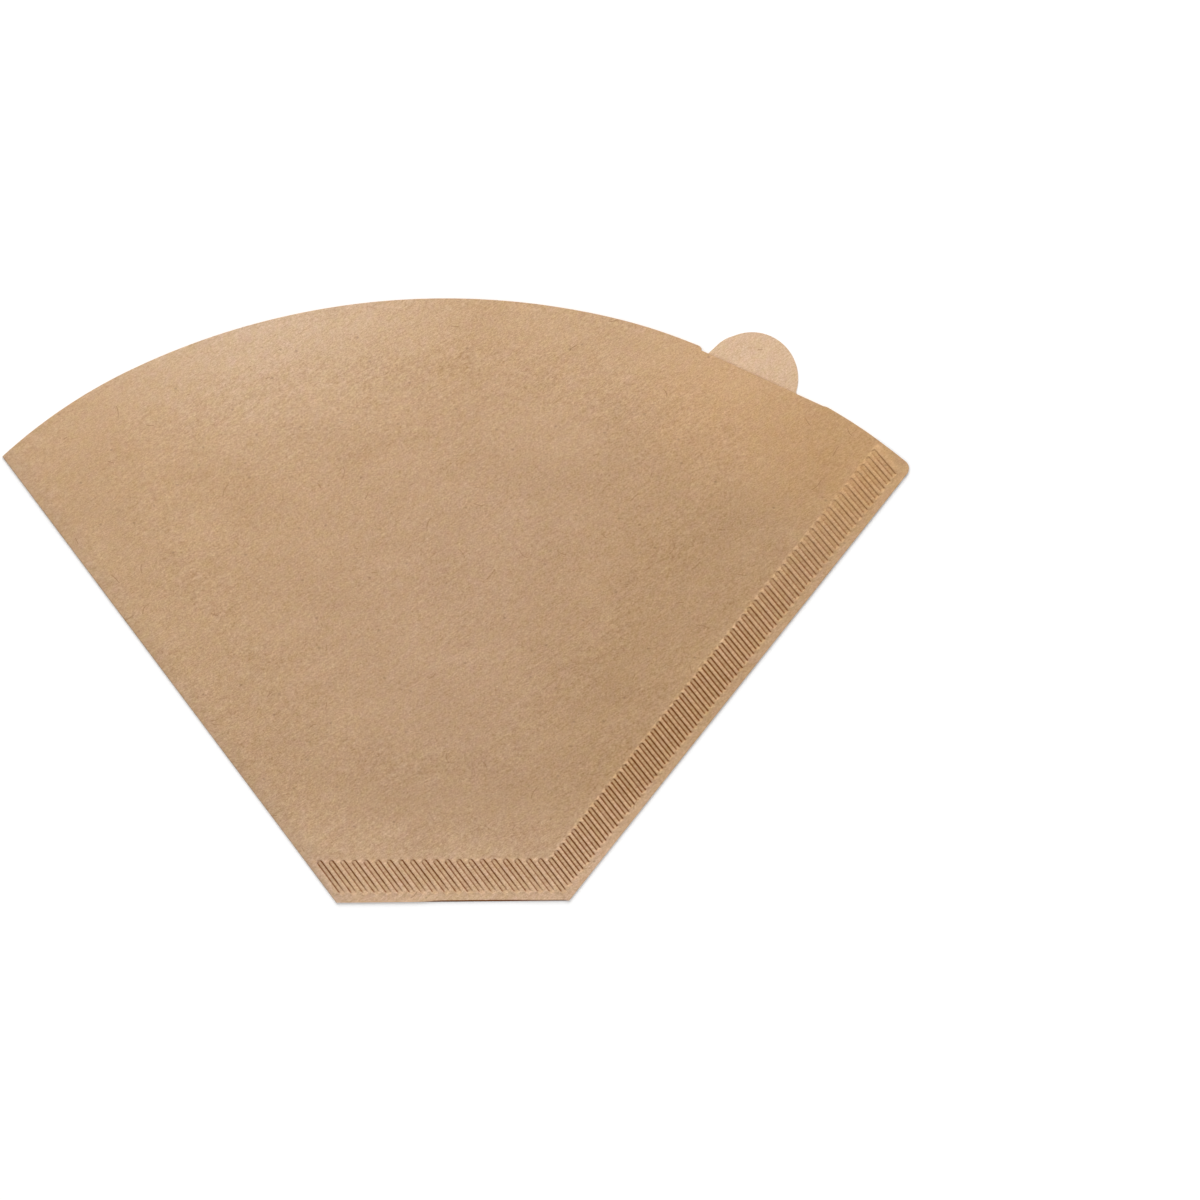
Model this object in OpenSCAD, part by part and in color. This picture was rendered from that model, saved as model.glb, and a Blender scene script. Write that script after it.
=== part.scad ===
// Cone coffee filter, one sheet of paper folded down the left side and crimped shut along the
// bottom and the right side. It lies flat on its back leaf: X runs across the filter, Y from
// the bottom seam up to the open mouth, and Z from the back leaf up to the front leaf.

/* [Outline] */
// Length of the bottom seam's cut edge
bottom_edge = 52; // [46:0.5:58]
// Length of the folded side, from the bottom seam to the mouth
fold_edge = 125.9; // [116:0.1:134]
// Length of the seamed side, from the bottom seam to the mouth
side_edge = 123.5; // [114:0.1:132]
// Lean of the folded side from the upright, in degrees
fold_lean = 36.3; // [32:0.1:40]
// Lean of the seamed side from the upright, in degrees
side_lean = 38.9; // [35:0.1:43]
// Radius of the mouth's long arc
mouth_r = 163.1; // [150:0.1:180]
// Radius of the rounded corner where the mouth meets the side seam
corner_r = 2; // [1:0.1:4]
// Length of the mouth that turns in towards the fold
turn_length = 35; // [20:0.5:45]
// Radius of the mouth where it turns in towards the fold
turn_r = 118; // [100:1:140]

/* [Paper] */
// Thickness of the paper
paper = 0.18; // [0.12:0.01:0.25]
// Clear height between the two leaves in the middle of the filter
leaf_gap = 1.6; // [0.8:0.1:3]
// Outer radius of the pressed fold
fold_r = 0.28; // [0.26:0.01:0.4]
// Distance over which the front leaf rises from the fold to its full height
fold_rise = 16; // [8:0.5:24]
// Distance over which the front leaf rises from the seams to its full height
seam_rise = 20; // [10:0.5:28]
// Distance over which the back leaf comes down from the seams to lie flat
seam_fall = 4; // [2:0.5:8]

/* [Crimped seam] */
// Width of the plain strip between the cut edge and the crimped band
seam_margin = 1.7; // [1.5:0.1:3.5]
// Width of the crimped band
band = 7.7; // [5:0.1:9]
// Distance from one pressed bar to the next along the bottom seam
bottom_pitch = 2.605; // [2.4:0.005:3.2]
// Distance from one pressed bar to the next along the side seam
side_pitch = 2.045; // [1.95:0.005:2.6]
// Distance of the first bar's middle from the fold
first_bar = 2.35; // [1.7:0.05:3]
// Least distance from the end of the last bar to the mouth
last_bar_clear = 1.8; // [1:0.1:4]
// Lean of the first bar from the upright, in degrees
bar_lean = 36; // [30:0.1:40]
// How much further the bars lean by the end of the side seam, in degrees
bar_fan = 4.5; // [0:0.1:6]
// Width of a pressed bar
bar_w = 1.06; // [0.7:0.02:1.2]
// Depth of a pressed bar below the raised land beside it
bar_depth = 0.3; // [0.16:0.02:0.34]
// Thickness of the paper that stands between a bar and the land beside it
bar_wall = 0.2; // [0.12:0.02:0.24]
// Distance from a bar's ends to the edges of the band, along the bar
bar_end_clear = 0.3; // [0.26:0.02:0.5]

/* [Tab] */
// Turn of the straight cut's left end about the middle of the mouth's arc, in degrees from the upright
cut_turn = 21.2; // [16:0.1:24]
// Length of the mouth that the straight cut takes up
cut_length = 30; // [27:0.5:36]
// Depth of the straight cut at its left end
cut_left_depth = 1.22; // [0.5:0.02:1.6]
// Depth of the straight cut at its right end
cut_right_depth = 0.5; // [0.2:0.02:1.4]
// Radius of the round pull tab on the back leaf
tab_r = 10.3; // [8:0.1:11]
// Distance of the tab's middle from the straight cut's left end
tab_along = 12.8; // [12:0.1:15]
// Distance of the tab's middle inside the straight cut
tab_inset = 0.95; // [0:0.05:3]
// Width of the notch between the mouth's arc and the foot of the tab's straight left flank
notch = 1.6; // [1:0.1:2.2]
// Turn from the tab's crown to the shoulder at the top of that flank, in degrees
tab_flank = 61; // [55:1:65]
// Distance by which the shoulder stands out of the tab's circle
tab_shoulder = 0.5; // [0.2:0.05:0.8]
// Radius of the fillet where the tab's right side leaves the straight cut
tab_fillet = 0.6; // [0.4:0.1:1.2]

/* [Hidden] */
$fn = 64;

// Length that reaches past the whole filter from any point of it
reach = fold_edge + bottom_edge + side_edge;
// Steps in the rise of a leaf
rise_steps = 6;
// Height by which a cut passes the surface that it opens
over = 1;
// Width of the waste that a cut takes off outside the mouth
waste = 9;
// Sides of the circle that rounds a bar's ends
bar_end_sides = 12;

// Heights: the pressed bars touch the ground, the lands stand a bar's depth higher,
// and the plain strip of the seam runs half way between them.
two_leaves = 2 * paper;
seam_low = bar_depth / 2;
seam_high = seam_low + two_leaves;
land_low = bar_depth;
land_high = land_low + two_leaves;
full_height = leaf_gap + two_leaves;
seam_width = seam_margin + band;

// Directions of the two slanted sides, upwards along them and inwards across them
fold_up = [-sin(fold_lean), cos(fold_lean)];
side_up = [sin(side_lean), cos(side_lean)];
side_in = [-cos(side_lean), sin(side_lean)];

// Corners where the sides meet the bottom edge and the mouth's arc
fold_foot = [0, 0];
side_foot = [bottom_edge, 0];
fold_top = fold_foot + fold_edge * fold_up;
side_top = side_foot + side_edge * side_up;

// Middle of the mouth's arc, below the chord between the two top corners
chord = side_top - fold_top;
chord_drop = sqrt(mouth_r * mouth_r - chord * chord / 4);
mouth_mid = (fold_top + side_top) / 2 + chord_drop * [chord.y, -chord.x] / norm(chord);

// The mouth's turn towards the fold starts here, where both of its circles have one tangent
turn_angle = compass(fold_top - mouth_mid) + degrees(turn_length / mouth_r);
turn_mid = mouth_mid + (mouth_r - turn_r) * heading(turn_angle);
turn_end = meet_circle(fold_foot, fold_up, turn_mid, turn_r);

// The rounded corner at the top of the side seam
corner_mid = meet_circle(side_foot + corner_r * side_in, side_up, mouth_mid, mouth_r - corner_r);
corner_angle = compass(corner_mid - mouth_mid);

// The straight cut in the mouth, with its direction and the way out of it, and the tab's middle
cut_start = mouth_mid + (mouth_r - cut_left_depth) * heading(cut_turn);
cut_end_turn = cut_turn + degrees(cut_length / mouth_r);
cut_end = mouth_mid + (mouth_r - cut_right_depth) * heading(cut_end_turn);
cut_way = (cut_end - cut_start) / norm(cut_end - cut_start);
cut_out = [-cut_way.y, cut_way.x];
tab_mid = cut_start + tab_along * cut_way - tab_inset * cut_out;

// The origin lies under the middle of the filter's box
box_left = turn_end.x;
box_right = corner_mid.x + corner_r;
box_top = max(mouth_mid.y + mouth_r, tab_mid.y + tab_r);
box_mid = [(box_left + box_right) / 2, box_top / 2];

// The pressed bars' feet run along the inner side of the plain strip, first along the bottom
// and then from the strip's corner up the side.
strip_corner_x = bottom_edge - seam_margin * (1 - sin(side_lean)) / cos(side_lean);
first_foot_x = first_bar / cos(fold_lean) - seam_margin * tan(fold_lean);
bottom_bars = floor((strip_corner_x - first_foot_x) / bottom_pitch) + 1;
path_length = strip_corner_x - first_foot_x + side_edge;
side_bars = len([for (i = [bottom_bars : bottom_bars + side_edge / side_pitch])
    if (norm(bar_end(i) - mouth_mid) < mouth_r - last_bar_clear) i]);
bars = bottom_bars + side_bars;

// Angle for a length along a circle, over its radius
function degrees(turn) = turn * 180 / PI;

// Unit vector for an angle to the right of the upright, and the angle of a vector
function heading(angle) = [sin(angle), cos(angle)];
function compass(v) = atan2(v.x, v.y);

// Where a line from a point crosses a circle on its way out
function meet_circle(from, along, middle, radius) =
    let (v = from - middle, lean = v * along)
    from + along * (sqrt(lean * lean - v * v + radius * radius) - lean);

// How far bar number i stands along the seams, and its foot, lean, length and inner end
function bar_path(i) = i < bottom_bars ? i * bottom_pitch
    : strip_corner_x - first_foot_x + side_path(i);
function side_path(i) =
    side_pitch * (i - (strip_corner_x - first_foot_x) / bottom_pitch);
function bar_foot(i) = i < bottom_bars ? [first_foot_x + i * bottom_pitch, seam_margin]
    : [strip_corner_x, seam_margin] + side_path(i) * side_up;
function lean_of_bar(i) = bar_lean + bar_fan * bar_path(i) / path_length;
function bar_length(i) =
    let (foot = bar_foot(i), lean = lean_of_bar(i),
         from_side = (foot - side_foot) * side_in)
    max((seam_width - foot.y) / cos(lean), (seam_width - from_side) / sin(lean + side_lean));
function bar_end(i) = bar_foot(i) + bar_length(i) * heading(-lean_of_bar(i));

// Points of a leaf that rises from one height to another and arrives level
function rise(start, length, low, high) =
    [for (i = [0 : rise_steps]) [start + length * i / rise_steps,
                                 low + (high - low) * sin(90 * i / rise_steps)]];
function backwards(list) = [for (i = [len(list) - 1 : -1 : 0]) list[i]];

// Section across a seam, from its cut edge inwards: the outside of the closed filter
module seam_outside() {
    polygon(concat(
        [[0, seam_high], [0, seam_low]],
        rise(seam_width, seam_fall, seam_low, 0),
        [[reach, 0], [reach, full_height]],
        backwards(rise(seam_width, seam_rise, seam_high, full_height))));
}

// Section across a seam: the space between the leaves, which starts a paper's thickness
// inside the band
module seam_inside() {
    start = seam_width + paper;
    polygon(concat(
        rise(start, seam_fall, seam_low + paper, paper),
        [[reach, paper], [reach, full_height - paper]],
        backwards([for (p = rise(start, seam_rise, seam_high - paper, full_height - paper))
            if (p.x > start) p])));
}

// Section across the fold: a round nose, inset by the paper for the space inside
module fold_section(inset) {
    translate([fold_r, fold_r]) circle(fold_r - inset);
    polygon(concat(
        [[fold_r, inset], [reach, inset], [reach, full_height - inset]],
        backwards(rise(fold_r, fold_rise, 2 * fold_r - inset, full_height - inset))));
}

// Runs a section along a side of the filter, with the section's x pointing inwards
module along_side(foot, turn) {
    translate(foot) rotate(turn) translate([-reach, 0, 0])
        rotate([90, 0, 90]) linear_extrude(2 * reach) children();
}

// The closed filter's outside
module outside() {
    intersection() {
        along_side(fold_foot, fold_lean - 90) fold_section(0);
        along_side(fold_foot, 0) seam_outside();
        along_side(side_foot, 90 - side_lean) seam_outside();
    }
}

// The space between its leaves
module inside() {
    intersection() {
        along_side(fold_foot, fold_lean - 90) fold_section(paper);
        along_side(fold_foot, 0) seam_inside();
        along_side(side_foot, 90 - side_lean) seam_inside();
    }
}

// A flat shape made solid from one height to another
module slab(low, high) {
    translate([0, 0, low]) linear_extrude(high - low) children();
}

// What the mouth's arc keeps: the long arc, less its turn towards the fold and the corner
module mouth_outline() {
    difference() {
        translate(mouth_mid) circle(mouth_r);
        turn_waste();
        corner_waste();
    }
}

// Waste outside the mouth where it turns towards the fold
module turn_waste() {
    past_fold = compass(fold_top - turn_mid) - degrees(waste / turn_r);
    difference() {
        polygon([turn_mid, turn_mid + (turn_r + waste) * heading(turn_angle),
                 turn_mid + (turn_r + waste) * heading(past_fold)]);
        translate(turn_mid) circle(turn_r);
    }
}

// Waste outside the rounded corner at the top of the side seam
module corner_waste() {
    size = waste / corner_r;
    difference() {
        polygon([corner_mid, corner_mid + waste * heading(corner_angle),
                 corner_mid + size * (side_top - corner_mid), corner_mid - waste * side_in]);
        translate(corner_mid) circle(corner_r);
    }
}

// The straight cut that both leaves have in the mouth, across the foot of the tab
module mouth_cut() {
    polygon([cut_start, cut_start + waste * heading(cut_turn),
             cut_end + waste * heading(cut_end_turn), cut_end]);
}

// The tab's outline. Its left flank runs from the notch to the shoulder, and from there the
// outline eases into the circle.
module tab_outline() {
    shoulder_turn = compass(cut_out) - tab_flank;
    shoulder_r = tab_r + tab_shoulder;
    circle_turn = shoulder_turn + acos(tab_r / shoulder_r);
    translate(tab_mid) circle(tab_r);
    polygon([tab_mid, cut_start + notch * cut_way, tab_mid + shoulder_r * heading(shoulder_turn),
             tab_mid + 0.99 * tab_r * heading(circle_turn)]);
    tab_fillet_web();
}

// The web between the tab's right side and the straight cut, hollowed by its fillet
module tab_fillet_web() {
    rise_to_fillet = tab_inset + tab_fillet;
    along = sqrt((tab_r + tab_fillet) ^ 2 - rise_to_fillet ^ 2);
    middle = tab_mid + along * cut_way + rise_to_fillet * cut_out;
    difference() {
        polygon([tab_mid, middle, middle - rise_to_fillet * cut_out]);
        translate(middle) circle(tab_fillet);
    }
}

// The crimped band's outline, half a step beyond its first and last bars
module band_outline() {
    corner = [strip_corner_x, seam_margin];
    inner_corner = corner + [-(1 - sin(side_lean)) / cos(side_lean), 1] * band;
    polygon([bar_foot(-0.5), corner, bar_foot(bars - 0.5), bar_end(bars - 0.5),
             inner_corner, bar_end(-0.5)]);
}

// A bar's outline: a straight slot with round ends, widened all round by a margin
module bar_outline(i, around) {
    width = bar_w + 2 * around;
    start = bar_end_clear - around + width / 2;
    end = bar_length(i) - start;
    translate(bar_foot(i)) rotate(lean_of_bar(i)) {
        translate([-width / 2, start]) square([width, end - start]);
        translate([0, start]) circle(width / 2, $fn = bar_end_sides);
        translate([0, end]) circle(width / 2, $fn = bar_end_sides);
    }
}

module filter() {
    color([0.76, 0.62, 0.48])
    translate([-box_mid.x, -box_mid.y, 0]) {
        difference() {
            union() {
                difference() {
                    intersection() {
                        outside();
                        slab(-over, full_height + over) mouth_outline();
                    }
                    inside();
                    slab(-over, full_height + over) mouth_cut();
                    slab(-over, land_low) band_outline();
                }
                slab(land_low, land_high) band_outline();
                slab(0, paper) tab_outline();
            }
            for (i = [0 : bars - 1]) slab(two_leaves, land_high + over) bar_outline(i, 0);
        }
        for (i = [0 : bars - 1]) slab(0, two_leaves) bar_outline(i, bar_wall);
    }
}

filter();
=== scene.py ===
"""Looks of a paper coffee filter that lies flat on its back leaf.

The filter is one sheet of unbleached paper, folded once down its left side and crimped shut along
the bottom and the right side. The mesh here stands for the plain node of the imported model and
keeps its sizes. Outline sizes are in millimetres from the foot of the fold, with X to the right
and Y up to the open mouth, and the mesh is moved over the row's origin at the end.
"""

import logging
import math
from collections.abc import Callable
from dataclasses import dataclass, field
from enum import Enum
from functools import cached_property

import bmesh
import bpy
import numpy as np
from mathutils import Matrix, Vector


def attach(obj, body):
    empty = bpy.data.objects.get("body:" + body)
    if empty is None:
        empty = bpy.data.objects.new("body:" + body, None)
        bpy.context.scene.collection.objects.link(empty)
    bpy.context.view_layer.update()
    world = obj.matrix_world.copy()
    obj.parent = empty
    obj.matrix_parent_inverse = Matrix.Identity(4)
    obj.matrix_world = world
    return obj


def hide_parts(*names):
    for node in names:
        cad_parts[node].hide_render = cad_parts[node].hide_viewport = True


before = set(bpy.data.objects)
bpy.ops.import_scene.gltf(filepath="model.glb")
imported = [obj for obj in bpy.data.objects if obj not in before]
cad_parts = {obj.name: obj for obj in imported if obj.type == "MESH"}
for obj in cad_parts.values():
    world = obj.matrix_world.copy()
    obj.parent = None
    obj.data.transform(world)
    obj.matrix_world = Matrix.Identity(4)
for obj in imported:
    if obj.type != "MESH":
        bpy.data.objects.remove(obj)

MM = 0.001
Array = np.ndarray
Pair = tuple[float, float]
Point = tuple[float, float, float]
Colour = tuple[float, float, float]
Output = bpy.types.NodeSocket
log = logging.getLogger("filter")


class Kind(Enum):
    """Kinds of shader node that the materials are made of."""

    COORDINATES = "TexCoord"
    MAPPING = "Mapping"
    NOISE = "TexNoise"
    VORONOI = "TexVoronoi"
    MATH = "Math"
    MIX = "Mix"
    RANGE = "MapRange"
    ATTRIBUTE = "Attribute"
    VECTOR = "VectorMath"
    ROTATE = "VectorRotate"
    PARTS = "SeparateXYZ"
    CHANNELS = "SeparateColor"
    BUMP = "Bump"
    PRINCIPLED = "BsdfPrincipled"
    EMISSION = "Emission"
    DIFFUSE = "BsdfDiffuse"
    ADD_SHADER = "AddShader"
    LIGHT_PATH = "LightPath"
    BACKGROUND = "Background"
    MATERIAL_OUTPUT = "OutputMaterial"
    WORLD_OUTPUT = "OutputWorld"


def heading(angle: Array | float) -> Array:
    """Unit vectors for angles to the right of the upright, in degrees."""
    turn = np.radians(angle)
    return np.stack([np.sin(turn), np.cos(turn)], axis=-1)


def compass(vector: Array) -> Array:
    """Angles of vectors to the right of the upright, in degrees."""
    return np.degrees(np.arctan2(vector[..., 0], vector[..., 1]))


def dot(one: Array, other: Array) -> Array:
    """Dot products along the last axis."""
    return np.sum(one * other, axis=-1)


def size(vector: Array) -> Array:
    """Lengths of vectors along the last axis."""
    return np.linalg.norm(vector, axis=-1)


def unit(vector: Array) -> Array:
    """Vectors of length 1 in the same directions."""
    return vector / np.linalg.norm(vector, axis=-1, keepdims=True)


def runs(line: Array) -> Array:
    """Distances along a line of points, from its first point."""
    return np.concatenate([[0.0], np.cumsum(size(np.diff(line, axis=0)))])


def along(line: Array, places: Array) -> Array:
    """Points at the given distances along a line of points."""
    return np.stack([np.interp(places, runs(line), line[:, axis]) for axis in (0, 1)], axis=-1)


def leave_circle(origin: Array, way: Array, middle: Array, radius: float) -> Array:
    """Distance along each way from an origin inside a circle to the circle.

    Args:
        origin: Points inside the circle.
        way: Unit directions.
        middle: The circle's middle.
        radius: The circle's radius.

    Returns:
        The distance for each origin.
    """
    from_middle = origin - middle
    lean = dot(from_middle, way)
    return np.sqrt(lean * lean - dot(from_middle, from_middle) + radius * radius) - lean


def arc(middle: Array, radius: float, start: float, end: float, step: float = 0.25) -> Array:
    """Points along a circle from one compass angle to another.

    Args:
        middle: The circle's middle.
        radius: The circle's radius.
        start: Compass angle of the first point, in degrees.
        end: Compass angle of the last point, in degrees.
        step: Greatest distance between points.

    Returns:
        The points, one per row.
    """
    count = max(2, math.ceil(abs(math.radians(end - start)) * radius / step))
    return middle + radius * heading(np.linspace(start, end, count + 1))


@dataclass(frozen=True)
class Ramp:
    """A smooth rise from 0 at its start to 1 at its end."""

    start: Array | float
    end: Array | float

    def __call__(self, value: Array) -> Array:
        """The share at each value."""
        share = np.clip((value - self.start) / (self.end - self.start), 0.0, 1.0)
        return share * share * (3.0 - 2.0 * share)


@dataclass(frozen=True)
class Edge:
    """A straight edge: its foot, its lean in degrees, and 1 or -1 for the filter on its right or left."""

    foot: Pair
    lean: float
    hand: float

    @cached_property
    def up(self) -> Array:
        """Direction up along the edge."""
        return heading(self.lean)

    @cached_property
    def inward(self) -> Array:
        """Direction from the edge into the filter."""
        return self.hand * np.array([self.up[1], -self.up[0]])

    def at(self, run: float) -> Array:
        """The point at a distance up the edge."""
        return np.array(self.foot) + run * self.up

    def depth(self, points: Array) -> Array:
        """Distance of points from the edge into the filter."""
        return dot(points - np.array(self.foot), self.inward)


@dataclass(frozen=True)
class Outline:
    """The filter's outline with its mouth, straight cut and tab.

    The dips are pairs of a compass angle about the mouth's middle and a depth inside its arc.
    """

    bottom_edge: float = 52.0
    fold_edge: float = 125.9
    side_edge: float = 123.5
    fold_lean: float = 36.3
    side_lean: float = 38.9
    fold_radius: float = 0.28
    mouth_radius: float = 163.1
    corner_radius: float = 2.0
    turn_length: float = 35.0
    turn_radius: float = 118.0
    cut_turn: float = 21.2
    cut_length: float = 30.0
    cut_left_depth: float = 1.22
    cut_right_depth: float = 0.5
    cut_points: int = 90
    tab_radius: float = 10.3
    tab_along: float = 12.8
    tab_inset: float = 0.95
    tab_flank: float = 61.0
    tab_shoulder: float = 0.5
    tab_fillet: float = 0.6
    shoulder_reach: float = 1.6
    shoulder_points: int = 12
    notch: float = 1.6
    fine_step: float = 0.1
    dip_turns: Pair = (15.0, 35.5)
    left_dip: tuple[Pair, ...] = (
        (16.5, 0.05), (18.0, 0.15), (19.5, 0.3), (20.6, 0.4), (20.9, 0.44), (21.04, 0.58), (21.15, 0.86),
    )
    right_dip: tuple[Pair, ...] = ((31.9, 0.3), (32.1, 0.2), (33.0, 0.16), (34.2, 0.05))

    @cached_property
    def fold(self) -> Edge:
        """The fold, on the left."""
        return Edge((0.0, 0.0), -self.fold_lean, 1.0)

    @cached_property
    def side(self) -> Edge:
        """The side seam's cut edge, on the right."""
        return Edge((self.bottom_edge, 0.0), self.side_lean, -1.0)

    @cached_property
    def mouth_middle(self) -> Array:
        """Middle of the mouth's long arc."""
        fold_top, side_top = self.fold.at(self.fold_edge), self.side.at(self.side_edge)
        chord = side_top - fold_top
        drop = math.sqrt(self.mouth_radius**2 - dot(chord, chord) / 4)
        return (fold_top + side_top) / 2 + drop * unit(np.array([chord[1], -chord[0]]))

    @cached_property
    def turn_angle(self) -> float:
        """Compass angle at which the mouth begins to turn towards the fold."""
        fold_angle = float(compass(self.fold.at(self.fold_edge) - self.mouth_middle))
        return fold_angle + math.degrees(self.turn_length / self.mouth_radius)

    @cached_property
    def turn_middle(self) -> Array:
        """Middle of the arc that turns towards the fold."""
        return self.mouth_middle + (self.mouth_radius - self.turn_radius) * heading(self.turn_angle)

    @cached_property
    def turn_end(self) -> Array:
        """Where the mouth meets the fold."""
        return self.fold.at(leave_circle(self.fold.at(0.0), self.fold.up, self.turn_middle, self.turn_radius))

    @cached_property
    def corner_middle(self) -> Array:
        """Middle of the rounded corner between mouth and side seam."""
        start = self.side.at(0.0) + self.corner_radius * self.side.inward
        run = leave_circle(start, self.side.up, self.mouth_middle, self.mouth_radius - self.corner_radius)
        return start + run * self.side.up

    @cached_property
    def cut_ends(self) -> tuple[Array, Array]:
        """Left and right end of the straight cut."""
        right_turn = self.cut_turn + math.degrees(self.cut_length / self.mouth_radius)
        left, right = self._dipped(((self.cut_turn, self.cut_left_depth), (right_turn, self.cut_right_depth)))
        return left, right

    @cached_property
    def cut_way(self) -> Array:
        """Direction along the straight cut, to the right."""
        return unit(self.cut_ends[1] - self.cut_ends[0])

    @cached_property
    def cut_out(self) -> Array:
        """Direction out of the straight cut."""
        return np.array([-self.cut_way[1], self.cut_way[0]])

    @cached_property
    def tab_middle(self) -> Array:
        """Middle of the round tab."""
        return self.cut_ends[0] + self.tab_along * self.cut_way - self.tab_inset * self.cut_out

    @cached_property
    def box_middle(self) -> Array:
        """Middle of the outline's box, which lies over the row's origin."""
        width = self.turn_end[0] + self.corner_middle[0] + self.corner_radius
        top = max(self.mouth_middle[1] + self.mouth_radius, self.tab_middle[1] + self.tab_radius)
        return np.array([width / 2, top / 2])

    @cached_property
    def tab_feet(self) -> tuple[Array, Array]:
        """Where the tab's left flank and its right fillet stand on the straight cut."""
        lift = self.tab_inset + self.tab_fillet
        half = math.sqrt((self.tab_radius + self.tab_fillet) ** 2 - lift**2)
        below = self.tab_middle + self.tab_inset * self.cut_out
        return self.cut_ends[0] + self.notch * self.cut_way, below + half * self.cut_way

    @cached_property
    def tab_sections(self) -> list[Array]:
        """The tab's outline from foot to foot: flank with its shoulder, circle and fillet."""
        start, end = self.tab_feet
        shoulder_turn = float(compass(self.cut_out)) - self.tab_flank
        shoulder_radius = self.tab_radius + self.tab_shoulder
        shoulder = self.tab_middle + shoulder_radius * heading(shoulder_turn)
        touch = shoulder_turn + math.degrees(math.acos(self.tab_radius / shoulder_radius))
        fillet_middle = end + self.tab_fillet * self.cut_out
        leave = float(compass(fillet_middle - self.tab_middle))
        leave += 360 if leave < touch else 0
        circle = arc(self.tab_middle, self.tab_radius, touch, leave)
        foot_turn = float(compass(-self.cut_out))
        fillet = arc(fillet_middle, self.tab_fillet, leave + 180, foot_turn + 360, self.fine_step)
        return [self._rounded(start, shoulder, circle[0]), circle, fillet]

    def _rounded(self, start: Array, corner: Array, end: Array) -> Array:
        """Points from start to end by way of a corner that a curve rounds off.

        Args:
            start: First point.
            corner: The corner.
            end: Last point.

        Returns:
            The points, one per row.
        """
        before = corner + self.shoulder_reach * unit(start - corner)
        after = corner + self.shoulder_reach * unit(end - corner)
        share = np.linspace(0.0, 1.0, self.shoulder_points)[:, None]
        curve = (1 - share) ** 2 * before + 2 * share * (1 - share) * corner + share**2 * after
        return np.vstack([start, curve, end])

    @cached_property
    def mouth(self) -> Array:
        """Points along the mouth from the fold to the side edge, corner included."""
        start = float(compass(self.turn_end - self.turn_middle))
        corner_turn = float(compass(self.corner_middle - self.mouth_middle))
        side_turn = float(compass(-self.side.inward))
        left, right = self.cut_ends
        parts = [
            arc(self.turn_middle, self.turn_radius, start, self.turn_angle),
            arc(self.mouth_middle, self.mouth_radius, self.turn_angle, self.dip_turns[0])[1:],
            self._dipped(self.left_dip),
            left + np.linspace(0, 1, self.cut_points)[:, None] * (right - left),
            self._dipped(self.right_dip),
            arc(self.mouth_middle, self.mouth_radius, self.dip_turns[1], corner_turn),
            arc(self.corner_middle, self.corner_radius, corner_turn, side_turn, self.fine_step)[1:],
        ]
        return np.vstack(parts)

    @cached_property
    def landmarks(self) -> list[Array]:
        """Points of the mouth that keep a column: the notch's round, the cut's ends and the tab's feet."""
        left, right = self.cut_ends
        notch, right_dip = self._dipped(self.left_dip[-3:]), self._dipped(self.right_dip)
        return [*notch, left, *self.tab_feet, right, right_dip[0]]

    def _dipped(self, dip: tuple[Pair, ...]) -> Array:
        """Points at the angles and depths of a dip, one per row."""
        angles, depths = np.array(dip).T
        return self.mouth_middle + (self.mouth_radius - depths)[:, None] * heading(angles)

    def from_mouth(self, points: Array) -> Array:
        """Distance of points from the mouth's arcs.

        Args:
            points: Points in the plane of the filter.

        Returns:
            The distances, which are above zero inside the filter.
        """
        long_gap = self.mouth_radius - size(points - self.mouth_middle)
        turn_gap = self.turn_radius - size(points - self.turn_middle)
        return np.where(compass(points - self.mouth_middle) < self.turn_angle, turn_gap, long_gap)


@dataclass(frozen=True)
class Slots:
    """How points lie to the bar nearest to each of them.

    The distance is from the bar's outline and is below zero inside it. Right and ahead are the
    parts of a unit vector from the bar's line. Up is how far along the bar the point lies from its
    foot, and bar is the bar's number.
    """

    distance: Array
    right: Array
    ahead: Array
    up: Array
    bar: Array


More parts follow.
